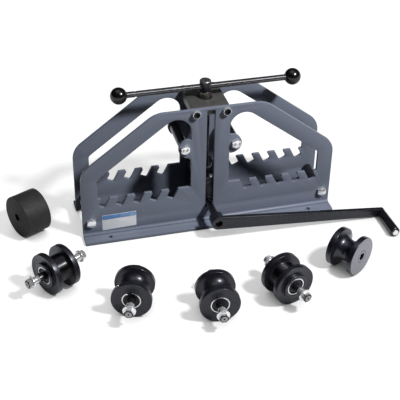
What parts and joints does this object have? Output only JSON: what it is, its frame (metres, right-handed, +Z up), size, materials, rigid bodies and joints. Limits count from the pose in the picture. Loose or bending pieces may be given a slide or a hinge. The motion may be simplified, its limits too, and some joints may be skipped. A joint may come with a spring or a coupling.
{
  "type": "ring roller",
  "caption": "Hand-cranked ring roller: folded side plates with slotted windows, a lead screw with a sliding bar, a yoke with the crank, and loose grooved dies.",
  "frame": {"origin": "on the bench surface, under the middle of the box round the machine and its loose dies", "axes": "+X along the side plates towards the crank's grip, +Y from the crank side to the back, +Z up"},
  "size_m": [0.7622, 0.4704, 0.3027],
  "materials": {
    "grey_paint": "glossy grey enamel",
    "dark_paint": "satin dark olive-grey enamel",
    "black_steel": "oiled black oxide, satin",
    "zinc": "bright zinc plate",
    "dark_zinc": "ground steel",
    "turned_steel": "turned bare steel",
    "bronze": "oiled bronze",
    "black_plastic": "polished black",
    "grip_plastic": "satin black"
  },
  "bodies": {
    "frame": {"front_side_plate": "grey_paint", "rear_side_plate": "grey_paint", "nut_block": "dark_paint", "screw_nut": "bronze", "block_screw_front_left": "zinc", "block_screw_front_right": "zinc", "block_screw_rear_left": "zinc", "block_screw_rear_right": "zinc", "upper_spacer_left": "black_steel", "upper_spacer_right": "black_steel", "lower_spacer_left": "black_steel", "lower_spacer_right": "black_steel", "upper_bolt_front_left": "zinc", "upper_bolt_front_right": "zinc", "upper_bolt_rear_left": "zinc", "upper_bolt_rear_right": "zinc", "lower_bolt_front_left": "zinc", "lower_bolt_front_right": "zinc", "lower_bolt_rear_left": "zinc", "lower_bolt_rear_right": "zinc"},
    "yoke": {"yoke_front_cheek": "black_steel", "yoke_rear_cheek": "black_steel", "yoke_bridge": "black_steel", "yoke_front_bush": "bronze", "yoke_rear_bush": "bronze", "screw_keeper": "dark_zinc"},
    "lead_screw": {"lead_screw": "black_steel"},
    "sliding_bar": {"tommy_bar": "black_steel", "ball_knob_left": "black_plastic", "ball_knob_right": "black_plastic"},
    "crank": {"drive_shaft": "black_steel", "crank_arm": "black_steel", "grip_bolt": "zinc"},
    "grip": {"crank_grip": "grip_plastic"},
    "loose_cylinder_die": {"cylinder_die": "black_steel"},
    "loose_drive_die": {"round_drive_die": "turned_steel"},
    "flat_idler_left_roller": {"flat_idler_left_die": "black_steel", "flat_idler_left_front_bearing": "dark_zinc", "flat_idler_left_rear_bearing": "dark_zinc"},
    "flat_idler_left_axle": {"flat_idler_left_axle": "black_steel", "flat_idler_left_front_bolt": "zinc", "flat_idler_left_rear_bolt": "zinc"},
    "flat_idler_right_roller": {"flat_idler_right_die": "black_steel", "flat_idler_right_front_bearing": "dark_zinc", "flat_idler_right_rear_bearing": "dark_zinc"},
    "flat_idler_right_axle": {"flat_idler_right_axle": "black_steel", "flat_idler_right_front_bolt": "zinc", "flat_idler_right_rear_bolt": "zinc"},
    "round_idler_left_roller": {"round_idler_left_die": "black_steel", "round_idler_left_front_bearing": "dark_zinc", "round_idler_left_rear_bearing": "dark_zinc"},
    "round_idler_left_axle": {"round_idler_left_axle": "black_steel", "round_idler_left_front_bolt": "zinc", "round_idler_left_rear_bolt": "zinc"},
    "round_idler_right_roller": {"round_idler_right_die": "black_steel", "round_idler_right_front_bearing": "dark_zinc", "round_idler_right_rear_bearing": "dark_zinc"},
    "round_idler_right_axle": {"round_idler_right_axle": "black_steel", "round_idler_right_front_bolt": "zinc", "round_idler_right_rear_bolt": "zinc"}
  },
  "joints": [
    {"name": "yoke_slide", "type": "slide", "parent": "frame", "child": "yoke", "axis": [0, 0, 1], "range_m": [0, 0.1352]},
    {"name": "screw_turn", "type": "hinge", "parent": "yoke", "child": "lead_screw", "pos_m": [0.02027, 0.15762, 0.2], "axis": [0, 0, 1], "range_deg": [0, 9720]},
    {"name": "bar_slide", "type": "slide", "parent": "lead_screw", "child": "sliding_bar", "axis": [1, 0, 0], "range_m": [-0.15, 0.143]},
    {"name": "crank_turn", "type": "hinge", "parent": "yoke", "child": "crank", "pos_m": [0.02027, 0.15762, 0.0424], "axis": [0, -1, 0], "range_deg": [-165, 175]},
    {"name": "grip_spin", "type": "hinge", "parent": "crank", "child": "grip", "pos_m": [0.37083, 0.15762, 0.0106], "axis": [0, -1, 0], "continuous": true},
    {"name": "cylinder_die_lift", "type": "slide", "parent": "frame", "child": "loose_cylinder_die", "axis": [0, 0, 1], "range_m": [0, 0.32]},
    {"name": "drive_die_lift", "type": "slide", "parent": "frame", "child": "loose_drive_die", "axis": [0, 0, 1], "range_m": [0, 0.32]},
    {"name": "flat_idler_left_lift", "type": "slide", "parent": "frame", "child": "flat_idler_left_roller", "axis": [0, 0, 1], "range_m": [0, 0.32]},
    {"name": "flat_idler_left_spin", "type": "hinge", "parent": "flat_idler_left_roller", "child": "flat_idler_left_axle", "pos_m": [-0.31305, -0.0289, 0.0408], "axis": [-0.866, -0.5, 0], "continuous": true},
    {"name": "flat_idler_right_lift", "type": "slide", "parent": "frame", "child": "flat_idler_right_roller", "axis": [0, 0, 1], "range_m": [0, 0.32]},
    {"name": "flat_idler_right_spin", "type": "hinge", "parent": "flat_idler_right_roller", "child": "flat_idler_right_axle", "pos_m": [0.09645, -0.15687, 0.0408], "axis": [0.2706, -0.9627, 0], "continuous": true},
    {"name": "round_idler_left_lift", "type": "slide", "parent": "frame", "child": "round_idler_left_roller", "axis": [0, 0, 1], "range_m": [0, 0.32]},
    {"name": "round_idler_left_spin", "type": "hinge", "parent": "round_idler_left_roller", "child": "round_idler_left_axle", "pos_m": [-0.18612, -0.12089, 0.0377], "axis": [-0.3289, -0.9444, 0], "continuous": true},
    {"name": "round_idler_right_lift", "type": "slide", "parent": "frame", "child": "round_idler_right_roller", "axis": [0, 0, 1], "range_m": [0, 0.32]},
    {"name": "round_idler_right_spin", "type": "hinge", "parent": "round_idler_right_roller", "child": "round_idler_right_axle", "pos_m": [-0.04073, -0.16977, 0.0377], "axis": [-0.0889, -0.996, 0], "continuous": true}
  ],
  "couplings": [
    {"joint": "yoke_slide", "follows": "screw_turn", "m_per_rad": 0.00079577}
  ]
}
